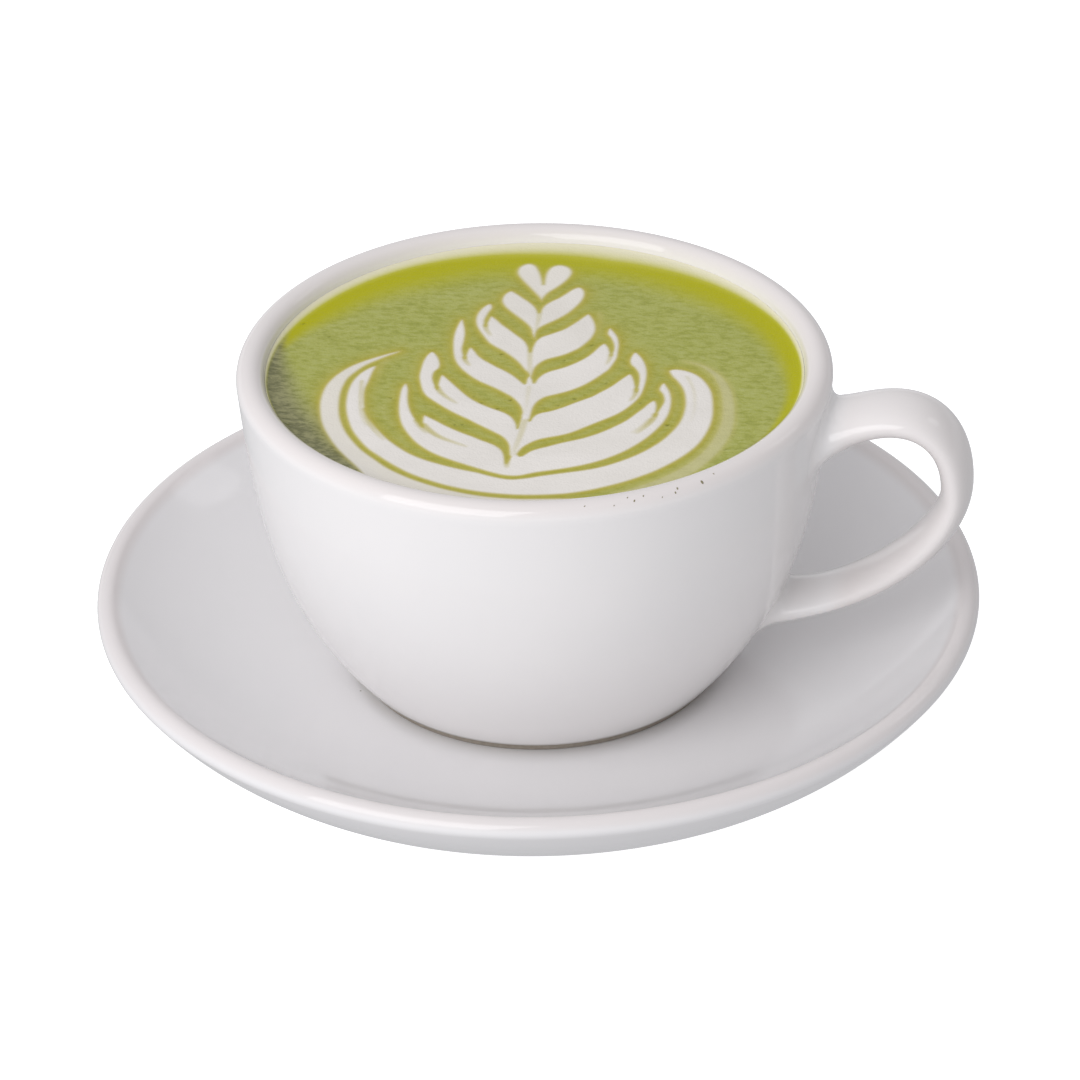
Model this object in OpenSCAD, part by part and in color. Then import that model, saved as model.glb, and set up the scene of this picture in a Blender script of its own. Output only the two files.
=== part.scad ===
// Matcha latte in a glazed china cup with its saucer.
// Millimetres, +Z up. The origin is the centre of the saucer's foot, on the
// surface that the saucer stands on, and the cup's handle points along +X.

/* [Saucer] */
// Outer radius of the saucer
saucer_r = 80.2; // [72:0.5:96]
// Height of the saucer's rim above the table
saucer_h = 24; // [20:0.5:29]
// Radius of the rounded rim, seen in section
saucer_lip_r = 2; // [1.5:0.1:2.5]
// Room left round the cup's foot on the flat well that carries it
well_margin = 3.8; // [1:0.1:8]
// Height of the well above the table
well_h = 7.8; // [7:0.1:10]
// Thickness of the china under the well
well_wall = 4.6; // [3.5:0.1:5.5]
// Height above the table at which that curve starts, hidden by the foot ring
belly_start_h = 1; // [0.8:0.1:2]
// Radius of the foot ring, at the middle of its width
saucer_foot_r = 46; // [43:0.5:52]
// Width of the foot ring where it leaves the underside
saucer_foot_w = 5; // [4:0.1:7]
// How far inside the foot ring the underside starts to curve up to the rim
belly_inset = 2; // [0.5:0.1:5]

/* [Cup] */
// Outer radius of the cup at its rim
rim_r = 53; // [46:0.5:64]
// Height of the cup from its foot to its rim
cup_h = 61.8; // [52:0.5:74]
// Thickness of the cup's wall, rounded over at the rim
cup_wall = 5.1; // [3.8:0.1:6]
// Radius of the bowl where it meets the foot
bowl_foot_r = 34.2; // [30:0.1:38]
// How far the foot ring is set back under the edge of the bowl
cup_foot_setback = 1; // [0.4:0.1:3]
// Width of the foot ring's resting face
cup_foot_w = 3.6; // [2.5:0.1:5]
// Height of the foot ring
cup_foot_h = 1.8; // [1.2:0.1:3]
// Thickness of the cup's floor above the recess under it
floor_wall = 4.6; // [3.5:0.1:6]
// Radius of the round corner between the floor and the wall inside
floor_round = 13; // [8:0.5:16]
// How much of the wall's flare is a straight taper, the rest is round belly
taper_share = 0.284; // [0.1:0.01:0.6]
// Roundness of the belly: higher is fuller near the foot
belly_power = 3.22; // [2:0.01:4]

/* [Handle] */
// How far the middle of the strap stands out from the cup's rim
handle_reach = 22.9; // [18:0.1:24.5]
// Width of the strap near its upper root, across the handle
strap_w = 14.6; // [11:0.1:18]
// Width of the strap near its lower root
strap_low_w = 11.7; // [9:0.1:15]
// Thickness of the strap near its upper root, in the plane of the handle
strap_t = 6.3; // [4.5:0.1:7]
// Thickness of the strap near its lower root
strap_low_t = 4.7; // [4:0.1:6]
// Distance of the upper root below the cup's rim
upper_root_drop = 11.9; // [10:0.1:18]
// Upward slope of the strap where it leaves the upper root, in degrees
upper_root_slope = 36; // [10:1:45]
// Length over which the upper arm holds that slope
upper_arm_pull = 22.4; // [14:0.1:26]
// Distance of the strap's outermost point below the cup's rim
elbow_drop = 18.8; // [16:0.1:27]
// Length over which the strap stays upright above its outermost point
elbow_pull_up = 11.4; // [8:0.1:16]
// Length over which the strap stays upright below its outermost point
elbow_pull_down = 10.3; // [5:0.1:14]
// Height of the lower root above the cup's foot
lower_root_h = 15.4; // [13:0.1:20]
// Upward slope of the strap where it leaves the lower root, in degrees
lower_root_slope = 4; // [0:1:20]
// Length over which the lower arm holds that slope
lower_arm_pull = 18.7; // [12:0.1:22]
// How much thicker the upper root is than the strap, as a factor on top
upper_root_swell = 0.55; // [0:0.05:1]
// How much thicker the lower root is than the strap, as a factor on top
lower_root_swell = 0.45; // [0:0.05:1]
// Length over which a root thins down to the strap
root_swell_length = 6.5; // [4:0.5:9]

/* [Drink] */
// Distance of the drink's surface below the cup's rim
fill_drop = 2.8; // [2:0.1:20]
// Space between the drink's solid and the inside of the cup
fill_gap = 0.05; // [0:0.01:0.2]

/* [Hidden] */

// Steps in a wall profile, in a small rounding, along each half of the handle
// and round the strap
wall_steps = 30;
round_steps = 8;
handle_steps = 18;
strap_sides = 20;
// Shape of the strap's section: 2 is an ellipse, higher is squarer
strap_squareness = 2.1;
// Rounding of the foot rings' lower corners
foot_round = 0.6;
// Width of the flat that each foot ring's sloped side leaves out
foot_slope = 0.8;
// Share of the foot ring's height that is upright, below its step out to the bowl
foot_upright = 2 / 3;
// Crowding of the inside's heights towards the floor: 1 is evenly spaced
floor_crowding = 1.6;
// Height step used to read the slope of the wall
slope_step = 1;
// Turn of the round bodies, which keeps the seam of their surfaces off the handle
seam_turn = 137;

cup_foot_r = bowl_foot_r - cup_foot_setback;
well_r = cup_foot_r + well_margin;
belly_start_r = saucer_foot_r - saucer_foot_w / 2 - belly_inset;
underside_h = well_h - well_wall;
lip_centre = [saucer_r - saucer_lip_r, saucer_h - saucer_lip_r];
cup_lip_r = cup_wall / 2;
wall_top = cup_h - cup_lip_r;
floor_h = cup_foot_h + floor_wall;
fill_h = cup_h - fill_drop;

function arc(centre, r, from, to, steps) =
    [for (i = [0:steps]) let (a = from + (to - from) * i / steps)
        centre + r * [cos(a), sin(a)]];

// Radius of an arc that starts level at [x, y] and touches the round rim,
// from above it (side = 1) or from below it (side = -1)
function touch_r(x, y, side) =
    let (dx = lip_centre[0] - x, dy = lip_centre[1] - y)
    (dx * dx + dy * dy - saucer_lip_r * saucer_lip_r)
        / (2 * (dy + side * saucer_lip_r));

// Direction from that arc's centre to the rim's, in degrees
function touch_angle(x, y, r) =
    atan2(lip_centre[1] - y - r, lip_centre[0] - x);

// Outer radius of the bowl at a height above the cup's foot
function bowl_r(z) =
    let (t = max(0, min(1, (z - cup_foot_h) / (wall_top - cup_foot_h))))
    bowl_foot_r + (rim_r - bowl_foot_r)
        * (taper_share * t + (1 - taper_share) * (1 - pow(1 - t, belly_power)));

// Inner radius of the bowl, with the corner above the floor rounded
function inside_r(z) =
    let (up = min(1, (z - floor_h) / floor_round))
    bowl_r(z) - cup_wall - floor_round * (1 - sqrt(max(0, 1 - (1 - up) * (1 - up))));

// Heights from the floor to the level of the top, closer together in the corner
function inside_heights(top) =
    [for (i = [0:wall_steps])
        floor_h + (top - floor_h) * pow(i / wall_steps, floor_crowding)];

function bezier(p, t) =
    pow(1 - t, 3) * p[0] + 3 * pow(1 - t, 2) * t * p[1]
        + 3 * (1 - t) * t * t * p[2] + pow(t, 3) * p[3];

function mix(from, to, share) = from + (to - from) * share;

function sign_pow(v, e) = sign(v) * pow(abs(v), e);

// Middle line of the strap, from the upper root to the lower, in its plane
function handle_line() =
    let (upper_z = cup_h - upper_root_drop,
         upper = [bowl_r(upper_z) - cup_wall / 2, upper_z],
         elbow = [rim_r + handle_reach, cup_h - elbow_drop],
         lower = [bowl_r(lower_root_h) - cup_wall / 2, lower_root_h],
         leave = upper_arm_pull * [cos(upper_root_slope), sin(upper_root_slope)],
         arrive = lower_arm_pull * [cos(lower_root_slope), sin(lower_root_slope)],
         arm = [upper, upper + leave, elbow + [0, elbow_pull_up], elbow],
         tail = [elbow, elbow - [0, elbow_pull_down], lower + arrive, lower])
    concat([for (i = [0:handle_steps]) bezier(arm, i / handle_steps)],
           [for (i = [1:handle_steps]) bezier(tail, i / handle_steps)]);

function unit(v) = v / norm(v);

// Upward direction along the outside of the bowl at a height
function wall_way(z) =
    unit([bowl_r(z + slope_step) - bowl_r(z - slope_step), 2 * slope_step]);

// One ring of the strap's surface at point i of its middle line. At the roots
// the ring lies along the wall and swells, further out it is square to the strap
function strap_ring(line, i) =
    let (last = len(line) - 1,
         along = unit(line[min(last, i + 1)] - line[max(0, i - 1)]),
         upper = exp(-pow(norm(line[i] - line[0]) / root_swell_length, 2)),
         lower = exp(-pow(norm(line[i] - line[last]) / root_swell_length, 2)),
         across = unit((1 - upper - lower) * [-along[1], along[0]]
             + upper * wall_way(line[0][1]) - lower * wall_way(line[last][1])),
         swell = 1 + upper_root_swell * upper + lower_root_swell * lower,
         half_t = swell / 2 * mix(strap_t, strap_low_t, i / last),
         half_w = sqrt(swell) / 2 * mix(strap_w, strap_low_w, i / last),
         e = 2 / strap_squareness)
    [for (k = [0:strap_sides - 1])
        let (a = 360 * k / strap_sides,
             out = half_t * sign_pow(sin(a), e),
             side = half_w * sign_pow(cos(a), e))
        [line[i][0] + across[0] * out, side, line[i][1] + across[1] * out]];

module saucer_section() {
    top_r = touch_r(well_r, well_h, 1);
    top_a = touch_angle(well_r, well_h, top_r);
    low_r = touch_r(belly_start_r, belly_start_h, -1);
    low_a = touch_angle(belly_start_r, belly_start_h, low_r);
    low_centre = [belly_start_r, belly_start_h + low_r];
    foot_out = saucer_foot_r + saucer_foot_w / 2;
    foot_in = saucer_foot_r - saucer_foot_w / 2;
    foot_a = asin((foot_out - belly_start_r) / low_r) - 90;
    polygon(concat(
        [[0, underside_h], [0, well_h]],
        arc([well_r, well_h + top_r], top_r, -90, top_a, wall_steps),
        arc(lip_centre, saucer_lip_r, top_a + 180, low_a, round_steps * 2),
        arc(low_centre, low_r, low_a, foot_a, wall_steps),
        arc([foot_out - foot_slope - foot_round, foot_round], foot_round, 0, -90, round_steps),
        arc([foot_in + foot_slope + foot_round, foot_round], foot_round, -90, -180, round_steps),
        [[foot_in, underside_h]]));
}

module saucer() {
    color("whitesmoke") rotate_extrude($fn = 180) saucer_section();
}

// The turned cup without its handle: foot, bowl, rounded rim and inside
module bowl() {
    foot_in = cup_foot_r - cup_foot_w;
    rotate([0, 0, seam_turn]) rotate_extrude($fn = 180)
        polygon(concat(
            [[0, floor_h], [0, cup_foot_h], [foot_in - foot_slope, cup_foot_h]],
            arc([foot_in + foot_round, foot_round], foot_round, 180, 270, round_steps),
            arc([cup_foot_r - foot_round, foot_round], foot_round, -90, 0, round_steps),
            [[cup_foot_r, cup_foot_h * foot_upright]],
            [for (i = [0:wall_steps])
                let (z = cup_foot_h + (wall_top - cup_foot_h) * i / wall_steps)
                [bowl_r(z), z]],
            arc([rim_r - cup_lip_r, wall_top], cup_lip_r, 0, 180, round_steps * 2),
            [for (i = [wall_steps:-1:0]) let (z = inside_heights(wall_top)[i])
                [inside_r(z), z]]));
}

module handle() {
    line = handle_line();
    rings = len(line);
    corners = [for (i = [0:rings - 1]) each strap_ring(line, i)];
    sides = [for (i = [0:rings - 2]) for (k = [0:strap_sides - 1])
        let (next = (k + 1) % strap_sides, a = i * strap_sides, b = a + strap_sides)
        [a + k, b + k, b + next, a + next]];
    first = [for (k = [0:strap_sides - 1]) k];
    last = [for (k = [strap_sides - 1:-1:0]) (rings - 1) * strap_sides + k];
    polyhedron(points = corners, faces = concat(sides, [first], [last]));
}

module cup() {
    color("whitesmoke") translate([0, 0, well_h]) {
        bowl();
        handle();
    }
}

module latte() {
    level_r = inside_r(fill_h) - fill_gap;
    color("yellowgreen") translate([0, 0, well_h])
        rotate_extrude($fn = 180)
            polygon(concat(
                [[0, floor_h + fill_gap]],
                [for (z = inside_heights(fill_h)) if (z < fill_h)
                    [inside_r(z) - fill_gap, max(z, floor_h + fill_gap)]],
                [[level_r, fill_h], [0, fill_h]]));
}

saucer();
cup();
latte();
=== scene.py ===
import math

import bpy
import numpy as np
from mathutils import Matrix, Vector, noise


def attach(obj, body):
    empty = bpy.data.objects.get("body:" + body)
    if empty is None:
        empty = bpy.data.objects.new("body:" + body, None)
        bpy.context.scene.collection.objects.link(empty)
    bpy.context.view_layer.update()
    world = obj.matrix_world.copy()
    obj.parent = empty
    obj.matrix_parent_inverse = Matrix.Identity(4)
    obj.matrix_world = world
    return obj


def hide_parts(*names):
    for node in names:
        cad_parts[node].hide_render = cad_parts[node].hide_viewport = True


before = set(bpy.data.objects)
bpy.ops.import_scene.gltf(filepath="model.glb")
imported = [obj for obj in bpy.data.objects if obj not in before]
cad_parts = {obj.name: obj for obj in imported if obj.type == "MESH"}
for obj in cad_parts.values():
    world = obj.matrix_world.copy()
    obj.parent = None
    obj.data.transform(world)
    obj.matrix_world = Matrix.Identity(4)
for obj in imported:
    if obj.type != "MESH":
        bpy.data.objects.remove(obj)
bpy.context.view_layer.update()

# ---------------------------------------------------------------- saucer
# The saucer: heavy white china, pressed and turned, glazed all over and fired,
# with only the sole of its foot ring wiped dry. It has a flat well for the cup,
# a long dished slope and a rounded lip. It just stands on the table.

MM = 0.001
saucer_r, saucer_h, saucer_lip = 80.2, 24.0, 2.0
well_r, well_h, well_wall = 37.0, 7.8, 4.6
belly_r, belly_h = 41.5, 1.0
saucer_foot_r, saucer_foot_w = 46.0, 5.0
foot_round, foot_slope = 0.6, 0.8
wheel_steps = 256
smooth_angle = math.radians(40)


def linear(red, green, blue):
    """A colour given as 0 to 255 on a screen, as the light that a shader works in."""
    return tuple(((c / 255 + 0.055) / 1.055) ** 2.4 if c > 10 else c / 255 / 12.92
                 for c in (red, green, blue)) + (1.0,)


def clear_bench():
    """Leaves edit mode with nothing selected."""
    if bpy.context.mode != "OBJECT":
        bpy.ops.object.mode_set(mode="OBJECT")
    bpy.ops.object.select_all(action="DESELECT")


def arc(centre, radius, start, end, steps):
    """Points of an arc in the half section, angles in degrees."""
    return [(centre[0] + radius * math.cos(math.radians(start + (end - start) * i / steps)),
             centre[1] + radius * math.sin(math.radians(start + (end - start) * i / steps)))
            for i in range(steps + 1)]


def turn_on_wheel(name, section, sides):
    """Turns a half section, [(radius, height)] in mm, round the upright axis."""
    clear_bench()
    bpy.ops.mesh.primitive_plane_add(size=0.001, location=(section[0][0] * MM, 0, section[0][1] * MM))
    clay = bpy.context.object
    clay.name = clay.data.name = name
    bpy.ops.object.transform_apply(location=True, rotation=True, scale=True)
    bpy.ops.object.mode_set(mode="EDIT")
    bpy.ops.mesh.select_all(action="SELECT")
    bpy.ops.mesh.merge(type="CENTER")
    for (r0, z0), (r1, z1) in zip(section, section[1:]):
        bpy.ops.mesh.extrude_vertices_move(
            TRANSFORM_OT_translate={"value": ((r1 - r0) * MM, 0, (z1 - z0) * MM)})
    bpy.ops.mesh.select_all(action="SELECT")
    bpy.ops.mesh.spin(steps=sides, angle=math.tau, center=(0, 0, 0), axis=(0, 0, 1))
    bpy.ops.mesh.select_all(action="SELECT")
    bpy.ops.mesh.remove_doubles(threshold=2e-6)
    bpy.ops.mesh.normals_make_consistent(inside=False)
    bpy.ops.object.mode_set(mode="OBJECT")
    bpy.ops.object.shade_smooth_by_angle(angle=smooth_angle)
    return clay


def china_glaze(name, tint_a, tint_b, seed, lip_low, lip_high, strap_from=None):
    """Clear glossy glaze over white china: faint cloudiness, a slight wave and rare pinholes.
    From lip_low to lip_high in mm the colour turns darker and warmer towards the lip: the clay's warmth under
    thin glaze, and painted shade.
    Further than strap_from mm from the axis the strap is darkened a little, as painted shade."""
    mat = bpy.data.materials.new(name)
    mat.use_nodes = True
    nodes, links = mat.node_tree.nodes, mat.node_tree.links
    glaze = nodes["Principled BSDF"]
    glaze.inputs["Roughness"].default_value = 0.09
    glaze.inputs["IOR"].default_value = 1.5
    place = nodes.new("ShaderNodeTexCoord")
    shift = nodes.new("ShaderNodeMapping")
    shift.inputs["Location"].default_value = (seed, seed * 0.7, seed * 0.3)
    links.new(place.outputs["Object"], shift.inputs["Vector"])
    cloud = nodes.new("ShaderNodeTexNoise")
    cloud.inputs["Scale"].default_value = 28
    cloud.inputs["Detail"].default_value = 3
    links.new(shift.outputs["Vector"], cloud.inputs["Vector"])
    body = nodes.new("ShaderNodeMix")
    body.data_type = "RGBA"
    body.inputs["A"].default_value = linear(*tint_a)
    body.inputs["B"].default_value = linear(*tint_b)
    links.new(cloud.outputs["Fac"], body.inputs["Factor"])
    # pinholes: one small dark point in some of the cells of a coarse cell pattern
    cells = nodes.new("ShaderNodeTexVoronoi")
    cells.inputs["Scale"].default_value = 55
    links.new(shift.outputs["Vector"], cells.inputs["Vector"])
    dot = nodes.new("ShaderNodeMapRange")
    dot.inputs["From Min"].default_value = 0.007
    dot.inputs["From Max"].default_value = 0.014
    dot.inputs["To Min"].default_value = 1
    dot.inputs["To Max"].default_value = 0
    links.new(cells.outputs["Distance"], dot.inputs["Value"])
    pick = nodes.new("ShaderNodeSeparateColor")
    links.new(cells.outputs["Color"], pick.inputs["Color"])
    some = nodes.new("ShaderNodeMath")
    some.operation = "GREATER_THAN"
    some.inputs[1].default_value = 0.72
    links.new(pick.outputs["Red"], some.inputs[0])
    hole = nodes.new("ShaderNodeMath")
    hole.operation = "MULTIPLY"
    links.new(dot.outputs["Result"], hole.inputs[0])
    links.new(some.outputs["Value"], hole.inputs[1])
    spotted = nodes.new("ShaderNodeMix")
    spotted.data_type = "RGBA"
    spotted.inputs["B"].default_value = linear(120, 112, 96)
    links.new(hole.outputs["Value"], spotted.inputs["Factor"])
    links.new(body.outputs["Result"], spotted.inputs["A"])
    # the lip: warmer clay under thin glaze, with painted shade; and painted shade on the strap
    height = nodes.new("ShaderNodeSeparateXYZ")
    links.new(place.outputs["Object"], height.inputs["Vector"])
    lip_shade = nodes.new("ShaderNodeMapRange")
    lip_shade.interpolation_type = "SMOOTHSTEP"
    lip_shade.inputs["From Min"].default_value = lip_low * MM
    lip_shade.inputs["From Max"].default_value = lip_high * MM
    links.new(height.outputs["Z"], lip_shade.inputs["Value"])
    warm_shade = nodes.new("ShaderNodeMix")
    warm_shade.data_type = "RGBA"
    warm_shade.blend_type = "MULTIPLY"
    # painted shade: this tint darkens and warms the lips, and darkens the strap
    warm_shade.inputs["B"].default_value = (0.91, 0.875, 0.862, 1)
    links.new(lip_shade.outputs["Result"], warm_shade.inputs["Factor"])
    if strap_from:
        strap_shade = nodes.new("ShaderNodeMapRange")
        strap_shade.interpolation_type = "SMOOTHSTEP"
        for socket, v in (("From Min", strap_from * MM), ("From Max", (strap_from + 5) * MM),
                          ("To Max", 0.75)):
            strap_shade.inputs[socket].default_value = v
        links.new(height.outputs["X"], strap_shade.inputs["Value"])
        most_shade = nodes.new("ShaderNodeMath")
        most_shade.operation = "MAXIMUM"
        links.new(lip_shade.outputs["Result"], most_shade.inputs[0])
        links.new(strap_shade.outputs["Result"], most_shade.inputs[1])
        links.new(most_shade.outputs["Value"], warm_shade.inputs["Factor"])
    links.new(spotted.outputs["Result"], warm_shade.inputs["A"])
    links.new(warm_shade.outputs["Result"], glaze.inputs["Base Color"])
    # the wave left by the glaze's flow
    wave = nodes.new("ShaderNodeTexNoise")
    wave.inputs["Scale"].default_value = 95
    wave.inputs["Detail"].default_value = 1
    links.new(shift.outputs["Vector"], wave.inputs["Vector"])
    bump = nodes.new("ShaderNodeBump")
    bump.inputs["Strength"].default_value = 0.06
    bump.inputs["Distance"].default_value = 0.0004
    links.new(wave.outputs["Fac"], bump.inputs["Height"])
    links.new(bump.outputs["Normal"], glaze.inputs["Normal"])
    return mat


def bare_or_shaded_foot(piece, name, below):
    """Gives a foot a dull, dark, gritty colour on faces below this height in mm: bare clay on the saucer's
    sole, painted shade on the cup's foot ring.
    """
    clay = bpy.data.materials.new(name)
    clay.use_nodes = True
    nodes, links = clay.node_tree.nodes, clay.node_tree.links
    place = nodes.new("ShaderNodeTexCoord")
    grit = nodes.new("ShaderNodeTexNoise")
    grit.inputs["Scale"].default_value = 1500
    links.new(place.outputs["Object"], grit.inputs["Vector"])
    # dark foot colour: bare clay on the saucer's sole; on the cup it is painted shade under the bowl
    tint = nodes.new("ShaderNodeMix")
    tint.data_type = "RGBA"
    tint.inputs["A"].default_value = linear(136, 127, 116)
    tint.inputs["B"].default_value = linear(164, 155, 143)
    links.new(grit.outputs["Fac"], tint.inputs["Factor"])
    links.new(tint.outputs["Result"], nodes["Principled BSDF"].inputs["Base Color"])
    nodes["Principled BSDF"].inputs["Roughness"].default_value = 0.8
    piece.data.materials.append(clay)
    for face in piece.data.polygons:
        if face.center.z < below * MM:
            face.material_index = len(piece.data.materials) - 1


def arc_to_lip(x, y, side):
    """Radius and end angle of the arc that leaves (x, y) level and touches the round lip."""
    dx, dy = saucer_r - saucer_lip - x, saucer_h - saucer_lip - y
    radius = (dx * dx + dy * dy - saucer_lip ** 2) / (2 * (dy + side * saucer_lip))
    return radius, math.degrees(math.atan2(dy - radius, dx))


top_radius, top_angle = arc_to_lip(well_r, well_h, 1)
low_radius, low_angle = arc_to_lip(belly_r, belly_h, -1)
foot_out, foot_in = saucer_foot_r + saucer_foot_w / 2, saucer_foot_r - saucer_foot_w / 2
foot_angle = math.degrees(math.asin((foot_out - belly_r) / low_radius)) - 90
saucer_section = (
    [(0, well_h), (well_r * 0.5, well_h)]
    + arc((well_r, well_h + top_radius), top_radius, -90, top_angle, 44)
    + arc((saucer_r - saucer_lip, saucer_h - saucer_lip), saucer_lip, top_angle + 180, low_angle, 18)[1:]
    + arc((belly_r, belly_h + low_radius), low_radius, low_angle, foot_angle, 40)[1:]
    + arc((foot_out - foot_slope - foot_round, foot_round), foot_round, 0, -90, 6)
    + arc((foot_in + foot_slope + foot_round, foot_round), foot_round, -90, -180, 6)
    + [(foot_in, well_h - well_wall), (0, well_h - well_wall)])
saucer = turn_on_wheel("saucer_china", saucer_section, wheel_steps)
# painted shade darkens the saucer's lip, with the warmth of thin glaze
saucer.data.materials.append(china_glaze(
    "saucer_glaze", (229, 227, 228), (236, 234, 234), seed=3.1, lip_low=22, lip_high=23.6))
bare_or_shaded_foot(saucer, "saucer_foot_bare_china", foot_round * 0.5)
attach(saucer, "root")
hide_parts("saucer")

# ---------------------------------------------------------------- cup
# The cup: thick-walled white china, its round bowl turned and its strap handle
# cast and stuck on with slip before glazing, so that the roots run smoothly into
# the wall. It stands by its own low foot ring in the saucer's well.

rim_r, cup_h, cup_wall = 53.0, 61.8, 5.1
bowl_foot_r, cup_foot_r, cup_foot_w, cup_foot_h = 34.2, 33.2, 3.6, 1.8
floor_wall, floor_round = 4.6, 13.0
taper_share, belly_power = 0.284, 3.22
handle_reach = 22.9
strap_w, strap_low_w, strap_t, strap_low_t = 14.6, 11.7, 6.3, 4.7
upper_root_drop, upper_slope, upper_pull = 11.9, 36.0, 22.4
elbow_drop, elbow_pull_up, elbow_pull_down = 18.8, 11.4, 10.3
lower_root_h, lower_slope, lower_pull = 15.4, 4.0, 18.7
upper_swell, lower_swell, swell_length = 0.55, 0.45, 6.5
root_fillet = 2.6
strap_sides, strap_stations = 56, 110
strap_roundness = 2.1  # 2 would be a plain oval section
root_buried, hug_reach, slope_step = 1.2, 9.0, 0.6

cup_lip = cup_wall / 2
wall_top = cup_h - cup_lip
floor_h = cup_foot_h + floor_wall


def bowl_r(z):
    """Outer radius of the bowl at a height above the cup's foot."""
    t = min(1.0, max(0.0, (z - cup_foot_h) / (wall_top - cup_foot_h)))
    return bowl_foot_r + (rim_r - bowl_foot_r) * (
        taper_share * t + (1 - taper_share) * (1 - (1 - t) ** belly_power))


def inside_r(z):
    """Inner radius of the bowl, with the round corner above its floor."""
    up = min(1.0, (z - floor_h) / floor_round)
    return bowl_r(z) - cup_wall - floor_round * (1 - math.sqrt(max(0.0, 1 - (1 - up) ** 2)))


cup_section = (
    [(0, cup_foot_h), (cup_foot_r - cup_foot_w - foot_slope, cup_foot_h)]
    + arc((cup_foot_r - cup_foot_w + foot_round, foot_round), foot_round, 180, 270, 6)
    + arc((cup_foot_r - foot_round, foot_round), foot_round, -90, 0, 6)
    + [(cup_foot_r, cup_foot_h * 2 / 3)]
    + [(bowl_r(z), z) for z in np.linspace(cup_foot_h, wall_top, 64)]
    + arc((rim_r - cup_lip, wall_top), cup_lip, 0, 180, 24)[1:]
    + [(inside_r(z), z) for z in floor_h + (wall_top - floor_h) * np.linspace(1, 0, 48)[1:] ** 1.6]
    + [(0, floor_h)])
cup = turn_on_wheel("cup_china", [(r, z + well_h) for r, z in cup_section], wheel_steps)


def bezier(p, t):
    """Points of the curve with the four handles p, at shares t of its way."""
    p, t = np.array(p, float), np.asarray(t)[:, None]
    return (1 - t) ** 3 * p[0] + 3 * (1 - t) ** 2 * t * p[1] + 3 * (1 - t) * t * t * p[2] + t ** 3 * p[3]


# middle line of the strap in its own plane, (distance from the axis, height)
upper_z = cup_h - upper_root_drop
upper = np.array([bowl_r(upper_z) - cup_wall / 2, upper_z])
elbow = np.array([rim_r + handle_reach, cup_h - elbow_drop])
lower = np.array([bowl_r(lower_root_h) - cup_wall / 2, lower_root_h])
leave = upper_pull * np.array([math.cos(math.radians(upper_slope)), math.sin(math.radians(upper_slope))])
arrive = lower_pull * np.array([math.cos(math.radians(lower_slope)), math.sin(math.radians(lower_slope))])
fine = np.linspace(0, 1, 400)
middle = np.concatenate([
    bezier([upper, upper + leave, elbow + [0, elbow_pull_up], elbow], fine),
    bezier([elbow, elbow - [0, elbow_pull_down], lower + arrive, lower], fine)[1:]])
run = np.concatenate([[0], np.cumsum(np.linalg.norm(np.diff(middle, axis=0), axis=1))])
outside = np.array([x > bowl_r(z) for x, z in middle])
start, stop = run[outside.argmax()], run[len(run) - 1 - outside[::-1].argmax()]


def unit(v):
    """v made one long."""
    return v / np.linalg.norm(v)


def wall_way(z):
    """The direction of the bowl's wall, upwards, at a height."""
    return unit(np.array([bowl_r(z + 1) - bowl_r(z - 1), 2.0]))


def back_to_wall(point, way):
    """How far point is from the bowl's outside, going back along way."""
    near, far = -12.0, 16.0
    for _ in range(26):
        half = (near + far) / 2
        q = point - way * half
        if math.hypot(q[0], q[1]) > bowl_r(q[2]):
            near = half
        else:
            far = half
    return near


# stations along the strap: close together in the two root fillets
turn = np.radians(np.linspace(0, 90, 11))
stations = np.concatenate([
    [start - root_buried], start + root_fillet * (1 - np.cos(turn)),
    np.linspace(start + root_fillet, stop - root_fillet, strap_stations)[1:-1],
    stop - root_fillet * (1 - np.cos(turn[::-1])), [stop + root_buried]])
rings = []
for s in stations:
    here, ahead, behind = (
        np.array([np.interp(spot, run, middle[:, 0]), np.interp(spot, run, middle[:, 1])])
        for spot in (s, min(run[-1], s + slope_step), max(0, s - slope_step)))
    along = unit(ahead - behind)
    near_upper = math.exp(-(np.linalg.norm(here - upper) / swell_length) ** 2)
    near_lower = math.exp(-(np.linalg.norm(here - lower) / swell_length) ** 2)
    across = unit((1 - near_upper - near_lower) * np.array([-along[1], along[0]])
                  + near_upper * wall_way(upper[1]) - near_lower * wall_way(lower[1]))
    swell = 1 + upper_swell * near_upper + lower_swell * near_lower
    share = s / run[-1]
    half_t = swell / 2 * (strap_t + (strap_low_t - strap_t) * share)
    half_w = math.sqrt(swell) / 2 * (strap_w + (strap_low_w - strap_w) * share)
    from_wall = max(0.0, min(s - start, stop - s))
    outward = np.array([along[0], 0, along[1]]) * (1 if s - start < stop - s else -1)
    flare = root_fillet * (1 - math.sqrt(max(0.0, 1 - (1 - min(1.0, from_wall / root_fillet)) ** 2)))
    hug = max(0.0, 1 - from_wall / hug_reach) ** 2
    ring = []
    for k in range(strap_sides):
        a = math.tau * k / strap_sides
        out = half_t * math.copysign(abs(math.sin(a)) ** (2 / strap_roundness), math.sin(a))
        side = half_w * math.copysign(abs(math.cos(a)) ** (2 / strap_roundness), math.cos(a))
        edge = unit(np.array([math.sin(a) / half_t, math.cos(a) / half_w]))
        out, side = out + flare * edge[0], side + flare * edge[1]
        p = np.array([here[0] + across[0] * out, side, here[1] + across[1] * out])
        if hug > 0:
            wish = min(s - start, stop - s)
            p = p + outward * (wish - back_to_wall(p, outward)) * hug
        ring.append(p + [0, 0, well_h])
    rings.append(ring)
rings = np.array(rings) * MM

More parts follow.
